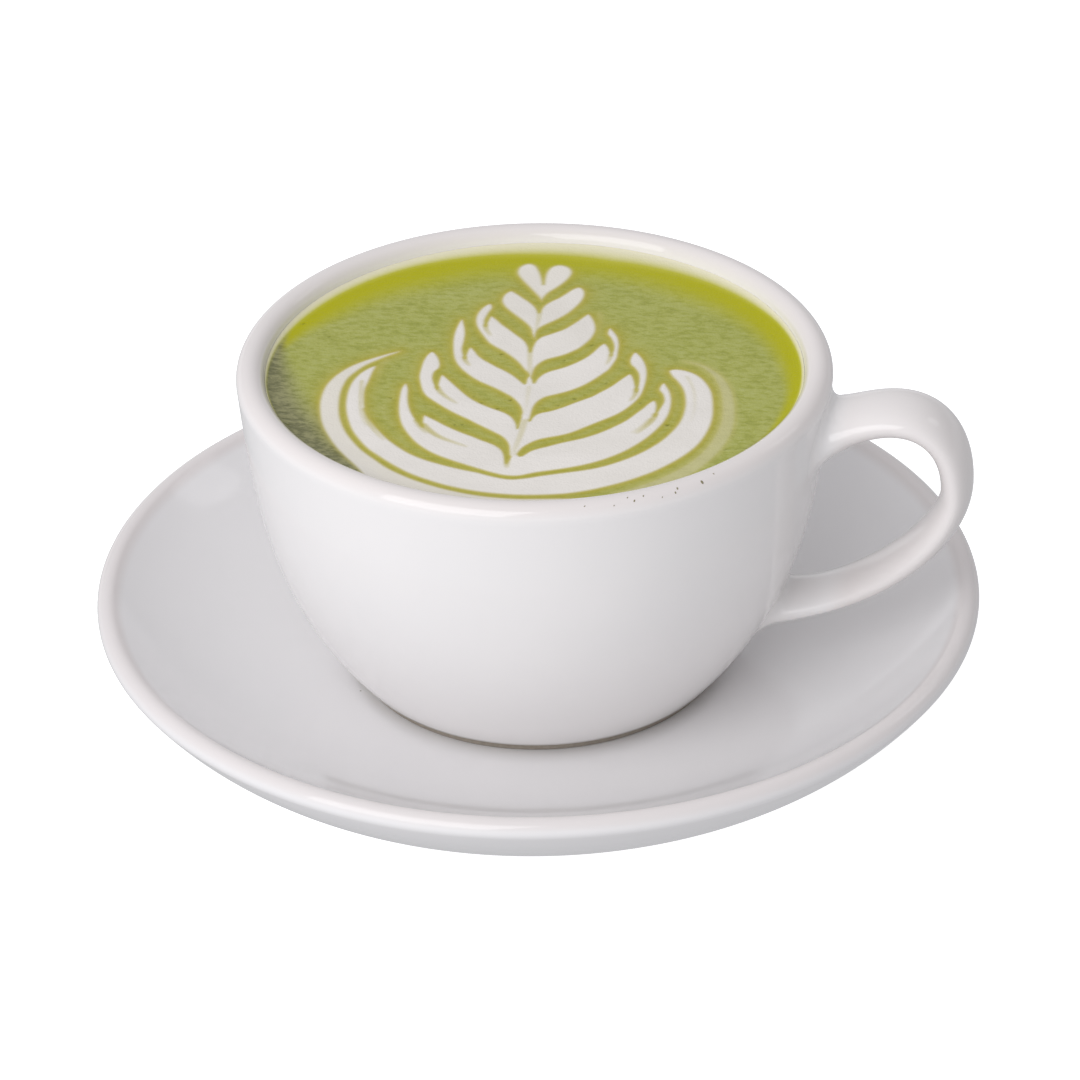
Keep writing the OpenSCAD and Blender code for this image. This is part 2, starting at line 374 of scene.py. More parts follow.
# the strap: a fine grid rolled round the middle line, its seam welded and its ends closed
clear_bench()
bpy.ops.mesh.primitive_grid_add(x_subdivisions=len(stations) - 1, y_subdivisions=strap_sides, size=1)
strap = bpy.context.object
strap.name = "strap"
flat = np.zeros(len(strap.data.vertices) * 3)
strap.data.vertices.foreach_get("co", flat)
flat = flat.reshape(-1, 3)
along_i = np.rint((flat[:, 0] - flat[:, 0].min()) / np.ptp(flat[:, 0]) * (len(stations) - 1)).astype(int)
around_i = np.rint((flat[:, 1] - flat[:, 1].min()) / np.ptp(flat[:, 1]) * strap_sides)
around_i = around_i.astype(int) % strap_sides
strap.data.vertices.foreach_set("co", rings[along_i, around_i].ravel())
bpy.ops.object.mode_set(mode="EDIT")
bpy.ops.mesh.select_all(action="SELECT")
bpy.ops.mesh.remove_doubles(threshold=1e-6)
bpy.ops.mesh.fill_holes(sides=0)
bpy.ops.mesh.select_all(action="SELECT")
bpy.ops.mesh.normals_make_consistent(inside=False)
bpy.ops.object.mode_set(mode="OBJECT")
bpy.ops.object.shade_smooth_by_angle(angle=smooth_angle)

clear_bench()
strap.select_set(True)
cup.select_set(True)
bpy.context.view_layer.objects.active = cup
bpy.ops.object.join()
cup.data.materials.clear()
# painted shade darkens the cup's lip and its strap, with the lip's warmth of thin glaze
cup.data.materials.append(china_glaze(
    "cup_glaze", (233, 231, 231), (240, 237, 236), seed=7.7, lip_low=66.6, lip_high=69.2, strap_from=rim_r))
# painted shade: the cup's whole foot ring is coloured dark, for the shade under the bowl
bare_or_shaded_foot(cup, "cup_foot_painted_shade", well_h + cup_foot_h - 0.1)
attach(cup, "root")
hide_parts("cup")

# ---------------------------------------------------------------- drink
# The drink: whisked matcha under a skin of fine milk foam, poured level with the
# cup's inner lip. The leaf in it is steamed milk poured last, which lies a hair
# proud of the green; near the wall the foam thins and the tea shows stronger.

fill_drop = 2.8
fill_h = cup_h - fill_drop
drink_r = inside_r(fill_h) - 0.02
surface_z = well_h + fill_h
art_turn = math.radians(11.5)  # the leaf's upright against the cup's handle
surface_steps = 272
milk_rise, grain_rise, burst_depth = 0.10, 0.018, 0.16
meniscus_rise, meniscus_width = 0.32, 0.9
stain_width = 1.2

# outlines of the poured milk in mm, x to the right and y to the leaf's top; a point
# given twice is a sharp tip
heart = [(-0.5, 40.2), (0.6, 39.3), (1.3, 37), (1.7, 34.5), (1.9, 32), (1.9, 32), (2.1, 34.5), (2.5, 36.8),
         (3.4, 38.7), (5, 39.5), (6.6, 38.6), (7.3, 36.8), (6.9, 34.8), (5.8, 32.6), (4.4, 30.6), (3, 28.9),
         (2.1, 27.2), (1.5, 25.6), (1.5, 25.6), (0.9, 27.2), (0.1, 29), (-0.9, 31.2), (-2, 33.6),
         (-2.9, 36.2),
         (-2.7, 38.4), (-1.7, 39.8)]
second = [(-4.1, 29.7), (-3, 28.7), (-1.8, 27), (-0.6, 25.3), (0.3, 23.6), (1, 21.2), (1, 21.2), (1.8, 23.6),
          (3, 25.3), (4.6, 26.8), (6, 28.5), (7.2, 30), (8.4, 30.7), (9.3, 29.6), (9.4, 27.5), (8.8, 25.2),
          (7.6, 22.8), (6.2, 20.6), (4.4, 18.6), (2.6, 17), (1.2, 15.6), (0.5, 14), (0.2, 11.4), (0.2, 11.4),
          (-0.3, 13), (-0.6, 15.2), (-1.4, 17.2), (-2.6, 19.2), (-4, 21.4), (-5.2, 23.6), (-5.8, 26),
          (-5.3, 28.3)]
third = [(-7.8, 24.9), (-7.4, 23.4), (-8.1, 21.4), (-8.8, 18.6), (-8.7, 16.4), (-8.7, 16.4), (-8.3, 18.4),
         (-7.7, 20.2), (-6.8, 19.2), (-5.6, 17), (-4.4, 15.2), (-3, 13), (-1.9, 11.3), (-1.2, 9.5),
         (-0.7, 6.6),
         (-0.7, 6.6), (-0.1, 9.2), (0.4, 10.8), (1.4, 12.2), (2.6, 13), (4, 13.9), (5.5, 15), (6.8, 16.5),
         (8, 18), (9, 19.4), (10, 20.4), (10.8, 18.5), (11.2, 16), (11.1, 13.8), (10.4, 11.4), (9.5, 9.7),
         (8.3, 7.9), (7.1, 6.7), (5.6, 5.5), (4, 4.6), (2.2, 3.7), (1, 2.4), (0.2, 0.9), (-0.2, -0.8),
         (-0.6, -3.4),
         (-0.6, -3.4), (-1.2, -1), (-1.9, 0.4), (-2.6, 2.2), (-3.4, 3.8), (-4.4, 5.4), (-5.6, 7.1), (-7, 8.7),
         (-8.2, 10.4), (-9, 12.4), (-9.8, 14.6), (-10.4, 17), (-10.5, 19.6), (-9.9, 22.2), (-8.8, 24.2)]
fourth = [(-13, 19.3), (-12.5, 17), (-12.3, 14), (-12.5, 11), (-12.8, 8), (-12.4, 4.6), (-12.4, 4.6),
          (-12, 7),
          (-11.4, 8.7), (-10.6, 7.4), (-10, 5.8), (-9.1, 4.3), (-8, 3), (-6.6, 1.4), (-5, -0.2), (-3.6, -2),
          (-2.5, -3.8), (-1.7, -5), (-1.4, -3.2), (-0.9, -2), (-0.4, -3.2), (-0.1, -4.8), (0.4, -3.4),
          (0.9, -2.4), (1.7, -1.3), (3, -0.3),
          (4.6, 0.5), (6, 1.4), (7.6, 2.7), (9, 4.1), (10, 5.4), (11, 7.1), (11.8, 8.5), (12.7, 9.3),
          (13.4, 7.6),
          (13.7, 4.8), (13.7, 4.8), (14.2, 7), (14.2, 9), (13.8, 11.2), (13.2, 13), (13.7, 15), (14.5, 13.5),
          (15.1, 11.5), (15.3, 9), (15.1, 6.5), (14.8, 4), (14.1, 1.8), (13.3, -0.2), (12.3, -1.6),
          (11, -3.3),
          (9.6, -4.9), (8, -6.4), (6, -7.8), (4, -8.8), (2, -9.7), (0.8, -10.9), (0.1, -12.2), (-0.4, -14),
          (-0.9, -17.6), (-0.9, -17.6), (-2.4, -16.8), (-2.3, -15), (-2.6, -13), (-3.3, -11.1), (-4.2, -9.5),
          (-5.4, -8.1), (-6.8, -6.6), (-8.4, -5.1), (-10, -3.6), (-11.3, -2), (-12.5, -0.1), (-13.2, 1.2),
          (-13.9, 3), (-14.4, 5.4), (-14.6, 9), (-14.5, 12.5), (-14, 16)]
fifth = [(-18.2, 7.3), (-17.3, 5.8), (-16.8, 3.4), (-16.9, 1.4), (-17.7, 0), (-18, -1.8), (-17.8, -4),
         (-17.2, -6.4), (-17.2, -6.4), (-17, -3.6), (-16.4, -1.2), (-15.3, -2.8), (-14.4, -4.4),
         (-13.4, -6.2),
         (-12.4, -8), (-11.2, -9.8), (-10, -11.2), (-8.6, -12.5), (-7.2, -13.6), (-5.8, -14.6), (-4.6, -15.8),
         (-3.8, -17.2), (-3.3, -19), (-3.1, -20.8), (-2.7, -18.4), (-2.3, -16.4), (-1.3, -16),
         (-1, -18.2), (-0.5, -17), (0.1, -16),
         (1, -15.3), (2.2, -14.9), (3.6, -14.2), (5.2, -13.2), (6.8, -12), (8.4, -10.9), (10, -9.8),
         (11.4, -8.4),
         (12.8, -7), (14, -5.6), (15, -4.2), (16, -2.9), (17, -2), (17.6, -4), (17.9, -8.4), (17.9, -8.4),
         (18.4, -5), (18.4, -2), (17.8, 0.1), (17.1, 1.6), (17.1, 3.6), (18, 5.9), (19, 4.4), (19.7, 2),
         (20, -0.6), (19.9, -3.4), (19.5, -6.2), (19, -8.6), (18.4, -10.4), (17.6, -12), (16.6, -13.6),
         (15.4, -15.2), (14, -16.6), (12.2, -18), (10.2, -19.5), (8, -21.2), (6, -22.6), (4, -23.5),
         (2, -24.1),
         (0.4, -24.8), (-1, -25.9), (-2.2, -27.3), (-3, -29), (-3.6, -30.6), (-4.5, -30.4), (-4.6, -28.4),
         (-4.7, -26.4), (-5.2, -24.6), (-6, -23.2), (-7.4, -21.7), (-9, -20.1), (-10.4, -18.7),
         (-11.8, -17.2),
         (-13.2, -15.9), (-14.6, -14.5), (-16, -12.9), (-17.2, -11.4), (-18.2, -10.1), (-19.2, -8.6),
         (-19.9, -6.6), (-20.3, -4), (-20.5, -1.5), (-20.2, 1.5), (-19.8, 4), (-19.1, 6.2)]
sixth = [(-22.8, -4), (-22.3, -6), (-22.3, -9), (-22.1, -12), (-21.6, -14.6), (-20.9, -16.8), (-19.6, -19.6),
         (-19.6, -19.6), (-19.7, -17.4), (-19.4, -15.5), (-18.2, -16.5), (-17, -17.7), (-15.8, -19),
         (-14.2, -20.5),
         (-12.4, -22), (-10.8, -23.2), (-9.4, -24.4), (-7.8, -25.6), (-6.6, -26.8), (-5.8, -28.2),
         (-5.4, -30),
         (-5.1, -32.6), (-5.1, -32.6), (-4.5, -30.6), (-4.1, -29), (-3.4, -29), (-2.6, -30.3),
         (-1, -28.6), (0.4, -27.7),
         (2, -27), (4, -26), (6, -25.2), (8, -24.4), (10, -23.3), (12, -21.9), (14, -20.2), (16, -18.2),
         (17.6, -16), (18.9, -14.2), (19.9, -12.6), (21, -11.6), (21.4, -13.6), (20.9, -17.2), (20.9, -17.2),
         (21.8, -14.6), (22.6, -12), (22.5, -9.6), (21.9, -7.6), (22.8, -5.4), (23.6, -7.5), (24, -10),
         (24, -12.5), (23.7, -15), (23.2, -17.2), (22.3, -19.6), (21, -22.1), (19.4, -24.6), (17.4, -27.1),
         (15, -29.5), (12, -31.7), (9, -33.3), (6, -34.4), (3, -35.2), (0, -35.9), (-3, -36.9), (-5.4, -36.7),
         (-7.6, -35.7), (-9.8, -34.4), (-12, -33), (-14.6, -31.3), (-17, -29.5), (-19, -27.5), (-20.6, -25.3),
         (-21.8, -23), (-22.8, -20.5), (-23.5, -18), (-23.9, -15), (-24, -12), (-23.9, -9), (-23.6, -6)]
inner_wing = [(-28.2, 2.4), (-28.7, 0), (-29.3, -3), (-29.9, -6), (-30, -9), (-29.8, -12.5), (-29.2, -15.6),
              (-28.2, -18.4), (-27, -21), (-25.6, -23.6), (-23.8, -26.2), (-21.6, -28.8), (-19, -30.9),
              (-16, -32.7), (-13, -34.2), (-10, -35.5), (-7.4, -36.9), (-4.6, -37.9), (-2, -37.7), (1, -36.9),
              (4, -36.2), (8, -35.3), (11, -34.3), (14, -32.7), (17, -30.6), (19.6, -28.2), (21.8, -25.6),
              (23.4, -23), (24.7, -20.4), (25.5, -18), (26, -15.5), (26.3, -13), (26.3, -10), (26, -7.5),
              (25.2, -5), (24.3, -3), (23.9, -1.1), (25, -0.5), (26.8, -1), (28.4, -2.2), (29.8, -4.2),
              (30.8, -7), (31.3, -10), (31.3, -15), (30.9, -19), (29.9, -23), (28.4, -26.8), (26.4, -30),
              (23.8, -33), (20.8, -35.8), (18, -37.8), (15, -39.6), (11.6, -41.2), (8.4, -42.4), (5, -43.2),
              (1, -43.5), (-3, -43.4), (-7, -42.8), (-11, -41.7), (-15, -40), (-18.4, -38), (-21.8, -35.5),
              (-24.7, -32.5), (-27, -29.7), (-29.2, -26.7), (-30.9, -23.2), (-32.1, -19.9), (-32.9, -16),
              (-33.3, -12), (-33.2, -8), (-32.8, -5), (-32.1, -2.4), (-30.9, 0), (-29.4, 1.8)]
outer_wing = [(-24, 7.8), (-26.2, 6.9), (-28.2, 5.8), (-30.6, 4.3), (-33, 2.3), (-35, -0.2), (-36.5, -3),
              (-37.4, -6), (-37.9, -10), (-37.8, -14), (-37.3, -18), (-36.2, -22), (-34.7, -26), (-33, -29.4),
              (-31.2, -32.6), (-29.6, -36), (-28, -41), (-20, -47), (-8, -50), (4, -50), (12, -47.6),
              (14, -45.4),
              (9, -45), (5, -44.7), (1, -44.6), (-3, -44.5), (-7, -43.9), (-11, -42.8), (-15, -41.1),
              (-18.6, -39.1), (-22.2, -36.5), (-25.4, -33.5), (-27.8, -30.3), (-30, -27.2), (-31.8, -23.6),
              (-33.1, -20.1), (-34, -16), (-34.3, -12), (-34.2, -8), (-33.8, -5), (-33, -2), (-31.7, 0.3),
              (-30, 2.6), (-28, 4.4), (-26, 6), (-24.6, 7)]
faint_wing = [(26.5, 2.6), (29.5, 1.6), (32, -0.8), (33.8, -4), (34.9, -8), (35.3, -12), (35.3, -16),
              (35, -20),
              (34.1, -24.5), (32.6, -28.5), (30.8, -32), (28.6, -35.4), (26, -38.5), (22, -42.5), (17, -46),
              (13, -46.5), (12, -44), (15.8, -41.6), (19, -39.6), (21.9, -37.4), (25, -34.4), (27.6, -31),
              (29.5, -27.4), (31, -23.3), (32, -19.2), (32.4, -15), (32.4, -10), (31.9, -6), (30.8, -2.4),
              (29, 0.4), (27, 1.9)]
# each pour: outline, how white it is, and the softness of its edge in mm
pours = [(heart, 0.94, 0.75), (second, 0.96, 0.65), (third, 0.98, 0.6), (fourth, 1.0, 0.55),
         (fifth, 1.0, 0.5), (sixth, 1.0, 0.55), (inner_wing, 1.0, 0.62),
         (outer_wing, 0.92, 0.62), (faint_wing, 0.54, 0.9)]

# green drawn out through the milk: line, width at its start and end, strength
draws = [([(-8.7, 16.8), (-8.5, 15), (-7.8, 13)], 0.5, 0.3, 0.35),
         ([(-12.4, 5), (-12.2, 3.6), (-11.5, 2)], 0.5, 0.3, 0.4),
         ([(13.7, 5), (13.4, 3.4), (12.8, 1.6)], 0.5, 0.3, 0.3),
         ([(-17.2, -5.6), (-16.6, -7.4), (-15.4, -9.4), (-13.8, -11.4)], 0.55, 0.3, 0.4),
         ([(17.9, -7.6), (17.6, -9.6), (16.8, -11.6)], 0.55, 0.3, 0.4),
         ([(-19.5, -18.9), (-18.2, -21.2), (-16.6, -23.2), (-14.6, -24.8), (-12, -26.6)], 0.7, 0.3, 0.42),
         ([(-20.8, -17.4), (-20.2, -19.4), (-19, -21.8)], 0.5, 0.3, 0.3),
         ([(21, -16.6), (20.4, -18.6), (19.2, -20.8), (17.6, -23)], 0.6, 0.3, 0.4),
         ([(20, -18.2), (18.6, -20.6), (16.8, -22.8)], 0.4, 0.3, 0.22),
         ([(-29.8, -13), (-29.2, -17), (-28, -20.6), (-26.4, -23.8)], 0.5, 0.3, 0.35),
         ([(-30.6, -3), (-30.7, -9), (-30.4, -15), (-29.4, -19)], 0.35, 0.3, 0.22),
         ([(27, -3.4), (28, -8), (28, -14), (27.2, -19)], 0.4, 0.3, 0.12),
         ([(-0.7, 7.4), (-0.8, 3), (-0.8, -2)], 0.5, 0.4, 0.22),
         ([(-1, -6), (-1.3, -10), (-1.6, -15)], 0.5, 0.4, 0.12),
         ([(-1.8, -18), (-2.4, -22), (-3.4, -27), (-4, -30)], 0.6, 0.5, 0.22),
         ([(-4.8, -30.4), (-5, -32.6), (-5, -34)], 0.6, 0.4, 0.4),
         ([(1.1, 21.6), (0.9, 18.6), (0.4, 15)], 0.5, 0.3, 0.2)]
# paler foam drawn out through the green: line, width at its start and end, strength
trails = [([(12, 20.6), (12.1, 17), (11.7, 13.6), (11.2, 11.4)], 0.6, 0.4, 0.22),
          ([(-26.6, 4.2), (-27.6, 1.4), (-27.6, -2)], 0.8, 0.5, 0.2),
          ([(-26.8, -12), (-26.2, -16), (-24.6, -20)], 0.6, 0.4, 0.12),
          ([(24.2, -8), (24.9, -12), (24.6, -17)], 0.7, 0.5, 0.12)]
# single burst bubbles in the foam, (x, y, radius)
bubbles = [(-5.8, 6.2, 0.45), (-10.8, -9, 0.3), (-9.4, -11.3, 0.35), (-6.5, -13.4, 0.45), (-4.3, -10.5, 0.45),
           (7, -10.4, 0.45), (23, -20.2, 0.45), (-25.4, -9, 0.35), (10.4, 8.9, 0.35), (5.4, 3.6, 0.3),
           (4, -12.6, 0.3), (1.2, -12.4, 0.25), (32.8, -29, 0.3), (-41.6, 18.6, 0.4), (-43.2, -18, 0.4),
           (18.6, -12.2, 0.3), (-14, -18.9, 0.3), (-12.8, -18.8, 0.3), (12.6, -4.9, 0.3), (-36.8, 13.6, 0.3)]

# the surface: a square grid eased out to a disc, so that its cells stay even
clear_bench()
bpy.ops.mesh.primitive_grid_add(x_subdivisions=surface_steps, y_subdivisions=surface_steps, size=2)
drink = bpy.context.object
drink.name = drink.data.name = "matcha_latte_drink"
flat = np.zeros(len(drink.data.vertices) * 3)
drink.data.vertices.foreach_get("co", flat)
square = flat.reshape(-1, 3)[:, :2]
disc = np.stack([square[:, 0] * np.sqrt(1 - square[:, 1] ** 2 / 2),
                 square[:, 1] * np.sqrt(1 - square[:, 0] ** 2 / 2)], 1) * drink_r
turned = np.array([[math.cos(art_turn), math.sin(art_turn)], [-math.sin(art_turn), math.cos(art_turn)]])
at = disc @ turned.T  # the same points as the leaf's own x and y


def flowing(points, closed, steps=6):
    """A smooth line through points; a point given twice stays sharp."""
    p = np.array(points, float)
    n = len(p)
    out = []
    for i in range(n if closed else n - 1):
        a, b, c, d = (p[(i + k) % n] if closed else p[min(n - 1, max(0, i + k))] for k in (-1, 0, 1, 2))
        if np.allclose(b, c):
            continue
        m0 = (c - a) / 2 * (not np.allclose(a, b))
        m1 = (d - b) / 2 * (not np.allclose(c, d))
        for j in range(steps):
            t = j / steps
            out.append((2 * t ** 3 - 3 * t ** 2 + 1) * b + (t ** 3 - 2 * t ** 2 + t) * m0
                       + (3 * t ** 2 - 2 * t ** 3) * c + (t ** 3 - t ** 2) * m1)
    if not closed:
        out.append(p[-1])
    return np.array(out)


def off_line(line, pts, closed):
    """Distance of pts from a line of short pieces, and how far along it the nearest point is."""
    far = np.full(len(pts), 1e9)
    share = np.zeros(len(pts))
    ends = np.roll(line, -1, axis=0) if closed else line[1:]
    starts = line if closed else line[:-1]
    for i, (a, b) in enumerate(zip(starts, ends)):
        ab = b - a
        t = np.clip(((pts - a) @ ab) / max(1e-12, ab @ ab), 0, 1)
        d = np.hypot(*(pts - a - t[:, None] * ab).T)
        closer = d < far
        far[closer] = d[closer]
        share[closer] = (i + t[closer]) / len(starts)
    return far, share


def within(line, pts):
    """Whether pts lie inside a closed line."""
    inside = np.zeros(len(pts), bool)
    for a, b in zip(line, np.roll(line, -1, axis=0)):
        cross = (a[1] > pts[:, 1]) != (b[1] > pts[:, 1])
        if cross.any():
            x = a[0] + (pts[:, 1] - a[1]) / (b[1] - a[1] + 1e-12) * (b[0] - a[0])
            inside ^= cross & (pts[:, 0] < x)
    return inside


def ease(low, high, value):
    """0 where value is at low, 1 where it is at high, and a smooth step between."""
    t = np.clip((value - low) / (high - low), 0, 1)
    return t * t * (3 - 2 * t)


milk = np.zeros(len(at))
to_milk = np.full(len(at), 9.0)
for outline, whiteness, soft in pours:
    line = flowing(outline, True)
    near = np.all((at > line.min(0) - 4) & (at < line.max(0) + 4), axis=1)
    gap, _ = off_line(line, at[near], True)
    gap = np.where(within(line, at[near]), -gap, gap)
    milk[near] = np.maximum(milk[near], whiteness * ease(soft, -soft, gap))
    if whiteness > 0.6:
        to_milk[near] = np.minimum(to_milk[near], gap)
for lines, sign in ((draws, -1), (trails, 1)):
    for points, wide, narrow, strength in lines:
        line = flowing(points, False)
        near = np.all((at > line.min(0) - 2) & (at < line.max(0) + 2), axis=1)
        gap, share = off_line(line, at[near], False)
        width = wide + (narrow - wide) * share
        stroke = strength * ease(width + 0.35, width * 0.3, gap) * (1 - share ** 2 * 0.7)
        milk[near] = milk[near] * (1 - stroke) if sign < 0 else milk[near] + (1 - milk[near]) * stroke

radius = np.hypot(*at.T)
angle = np.degrees(np.arctan2(at[:, 1], at[:, 0])) % 360
to_wall = drink_r - radius
# depth in mm of the stronger tea along the wall, and of the cream left on it, by direction
compass = [0, 20, 45, 70, 90, 120, 150, 168, 185, 330, 348, 360]
strong_deep = np.interp(angle, compass, [5, 8, 12, 13, 14, 13, 8, 2.5, 0.5, 1.5, 3, 5])
cream_deep = np.interp(angle, compass, [0.9, 1.8, 4.5, 7.5, 6.5, 4, 2.6, 1.2, 0.4, 0.4, 0.6, 0.9])
strong = ease(strong_deep * 1.2, strong_deep * 0.4, to_wall) * (strong_deep > 0.6)
cream = ease(cream_deep, 0, to_wall)
# painted shade: the drink greyed and darkened near the cup's inside wall at the left, where the wall shades
# it; its depth in mm by direction
painted_shade_deep = np.interp(angle, [0, 150, 166, 182, 205, 228, 240, 312, 322, 335, 360],
                      [0, 0, 2.5, 7.5, 10.5, 6.5, 1, 0.5, 2.2, 1.2, 0])
painted_shade = ease(painted_shade_deep + 0.01, painted_shade_deep * 0.25, to_wall) * ease(0, 3, painted_shade_deep)
stain = np.exp(-np.clip(to_milk, 0, 9) / stain_width)
burst = np.zeros(len(at))
for x, y, size in bubbles:
    burst = np.maximum(burst, ease(size, size * 0.3, np.hypot(at[:, 0] - x, at[:, 1] - y)))

# relief: the milk a hair proud, fine foam grain, the meniscus and the burst bubbles
grain = np.array([noise.noise(Vector((x * 0.9, y * 0.9, 4.2)))
                  + 0.5 * noise.noise(Vector((x * 2.1, y * 2.1, 1.7))) for x, y in at])
heights = (surface_z + milk_rise * milk + grain_rise * grain * (1 - 0.6 * milk) - burst_depth * burst
           + meniscus_rise * np.exp(-to_wall / meniscus_width))
drink.data.vertices.foreach_set("co", (np.column_stack([disc, heights]) * MM).ravel())
for layer_name, values in (("milk", milk), ("strong", strong), ("cream", cream), ("painted_shade", painted_shade),
                           ("stain", stain), ("burst", burst)):
    layer = drink.data.attributes.new(layer_name, "FLOAT", "POINT")
    layer.data.foreach_set("value", values.astype(np.float32))

# the unseen body of the drink: its edge carried down along the cup's inside and closed
bpy.ops.object.mode_set(mode="EDIT")
bpy.ops.mesh.select_all(action="DESELECT")
bpy.ops.mesh.select_non_manifold()
last_r, last_z = drink_r, surface_z + meniscus_rise
for z in fill_h - (fill_h - floor_h - 0.05) * np.linspace(0, 1, 9) ** 0.8:
    next_r, next_z = inside_r(z) - 0.05, z + well_h
    bpy.ops.mesh.extrude_region_move(TRANSFORM_OT_translate={"value": (0, 0, (next_z - last_z) * MM)})
    bpy.ops.transform.resize(value=(next_r / last_r, next_r / last_r, 1), center_override=(0, 0, next_z * MM))
    last_r, last_z = next_r, next_z
bpy.ops.mesh.extrude_region_move(TRANSFORM_OT_translate={"value": (0, 0, 0)})
bpy.ops.mesh.merge(type="CENTER")
bpy.ops.mesh.select_all(action="SELECT")
bpy.ops.mesh.remove_doubles(threshold=1e-7)
bpy.ops.mesh.normals_make_consistent(inside=False)
bpy.ops.object.mode_set(mode="OBJECT")
bpy.ops.object.shade_smooth_by_angle(angle=math.radians(50))

# the surface laid flat for painting, with the unseen body tucked into a corner
flat = np.zeros(len(drink.data.vertices) * 3)
drink.data.vertices.foreach_get("co", flat)
where = flat.reshape(-1, 3)
on_top = where[:, 2] > (surface_z - 0.4) * MM
uv = drink.data.uv_layers.new(name="OFBake")
corner = np.zeros(len(drink.data.loops), int)
drink.data.loops.foreach_get("vertex_index", corner)
plan = where[:, :2] / (drink_r * MM) * 0.47 + 0.5
deep = np.clip((surface_z * MM - where[:, 2]) / (fill_h * MM), 0, 1)
round_about = np.arctan2(where[:, 1], where[:, 0]) / math.tau + 0.5
tucked = np.stack([0.01 + 0.1 * round_about, 0.01 + 0.1 * deep], 1)
uv.data.foreach_set("uv", np.where(on_top[:, None], plan, tucked)[corner].ravel())

tea = bpy.data.materials.new("matcha_and_milk")
tea.use_nodes = True
nodes, links = tea.node_tree.nodes, tea.node_tree.links
skin = nodes["Principled BSDF"]
skin.inputs["Roughness"].default_value = 0.42
skin.inputs["IOR"].default_value = 1.34
skin.inputs["Specular IOR Level"].default_value = 0.2
place = nodes.new("ShaderNodeTexCoord")


def layer_node(layer_name):
    """The value that the drink's points carry under this name."""
    node = nodes.new("ShaderNodeAttribute")
    node.attribute_name = layer_name
    return node.outputs["Fac"]


def blended(factor, a, b):
    """a turning into b by factor; each is a colour or a node's output."""
    mix = nodes.new("ShaderNodeMix")
    mix.data_type = "RGBA"
    links.new(factor, mix.inputs["Factor"])
    for socket, value in (("A", a), ("B", b)):
        if isinstance(value, tuple):
            mix.inputs[socket].default_value = value
        else:
            links.new(value, mix.inputs[socket])
    return mix.outputs["Result"]


def scaled(value, low, high, to_low, to_high):
    """value moved from the range low to high into the range to_low to to_high."""
    node = nodes.new("ShaderNodeMapRange")
    for socket, v in (("From Min", low), ("From Max", high), ("To Min", to_low), ("To Max", to_high)):
        node.inputs[socket].default_value = v
    links.new(value, node.inputs["Value"])
    return node.outputs["Result"]


stretch = nodes.new("ShaderNodeMapping")
stretch.inputs["Rotation"].default_value = (0, 0, -art_turn)
stretch.inputs["Scale"].default_value = (0.65, 1.25, 1)
links.new(place.outputs["Object"], stretch.inputs["Vector"])
mottle = nodes.new("ShaderNodeTexNoise")
mottle.inputs["Scale"].default_value = 860
mottle.inputs["Detail"].default_value = 4
mottle.inputs["Roughness"].default_value = 0.62
links.new(stretch.outputs["Vector"], mottle.inputs["Vector"])
drift = nodes.new("ShaderNodeTexNoise")
drift.inputs["Scale"].default_value = 70
drift.inputs["Detail"].default_value = 2
drift.inputs["Distortion"].default_value = 0.6
links.new(place.outputs["Object"], drift.inputs["Vector"])
foam = nodes.new("ShaderNodeTexVoronoi")
foam.inputs["Scale"].default_value = 2400
links.new(place.outputs["Object"], foam.inputs["Vector"])

green = blended(drift.outputs["Fac"], linear(160, 165, 80), linear(172, 174, 92))
green = blended(scaled(mottle.outputs["Fac"], 0.45, 0.8, 0, 0.7), green, linear(186, 189, 124))
green = blended(scaled(mottle.outputs["Fac"], 0.28, 0.5, 0.6, 0), green, linear(134, 140, 56))
green = blended(scaled(layer_node("stain"), 0, 1, 0, 0.9), green, linear(176, 164, 50))
green = blended(layer_node("strong"), green, linear(177, 175, 14))
# painted shade colour for the shaded left edge of the drink, grey and streaky
painted_shade_colour = blended(scaled(mottle.outputs["Fac"], 0.4, 0.6, 0, 1), linear(114, 114, 80), linear(150, 148, 108))
green = blended(layer_node("painted_shade"), green, painted_shade_colour)
white = blended(scaled(drift.outputs["Fac"], 0.3, 0.7, 0, 1), linear(234, 229, 223), linear(227, 222, 215))
edge_white = blended(scaled(layer_node("milk"), 0.35, 0.95, 0, 1), linear(204, 194, 128), white)
colour = blended(layer_node("milk"), green, edge_white)
colour = blended(scaled(layer_node("cream"), 0, 0.8, 0, 0.85), colour, linear(208, 204, 100))
colour = blended(scaled(layer_node("cream"), 0.3, 1, 0, 1), colour, linear(228, 223, 196))
colour = blended(scaled(layer_node("burst"), 0, 1, 0, 0.6), colour, linear(92, 96, 34))
links.new(colour, skin.inputs["Base Color"])
relief = nodes.new("ShaderNodeBump")
relief.inputs["Strength"].default_value = 0.35
relief.inputs["Distance"].default_value = 0.00012
links.new(foam.outputs["Distance"], relief.inputs["Height"])
wrinkle = nodes.new("ShaderNodeBump")
wrinkle.inputs["Strength"].default_value = 0.3
wrinkle.inputs["Distance"].default_value = 0.0003
links.new(mottle.outputs["Fac"], wrinkle.inputs["Height"])
links.new(relief.outputs["Normal"], wrinkle.inputs["Normal"])
links.new(wrinkle.outputs["Normal"], skin.inputs["Normal"])
drink.data.materials.append(tea)
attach(drink, "root")
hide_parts("latte")

# ---------------------------------------------------------------- flecks
# A few crumbs of dried matcha left on the cup's front rim by the pour: each is
# a flattened grain that sits on the glaze.

